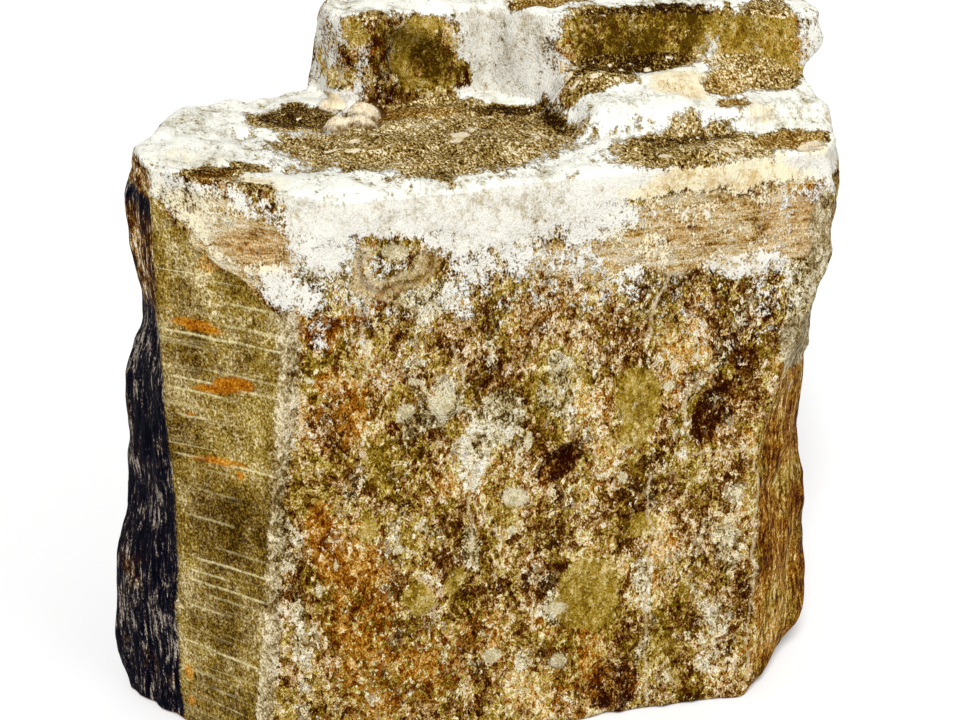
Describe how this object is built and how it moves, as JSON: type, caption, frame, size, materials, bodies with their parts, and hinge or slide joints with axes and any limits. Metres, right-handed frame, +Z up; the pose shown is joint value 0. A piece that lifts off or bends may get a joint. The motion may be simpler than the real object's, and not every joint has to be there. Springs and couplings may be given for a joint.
{
  "type": "soapstone block",
  "caption": "Rough block of soapstone with a stepped top, one sawn corner and broken, pitted faces, standing on a flat spot of its underside.",
  "frame": {"origin": "middle of the flat spot that the stone rests on, on the base plane", "axes": "+Z up, -Y towards the broad rough face, +X towards the end where the top is raised"},
  "size_m": [0.1698, 0.1082, 0.1581],
  "materials": {
    "soapstone": "matt, speckled brown and olive with chalky white talc on the raised edges"
  },
  "bodies": {
    "root": {"soapstone": "soapstone"}
  },
  "joints": []
}
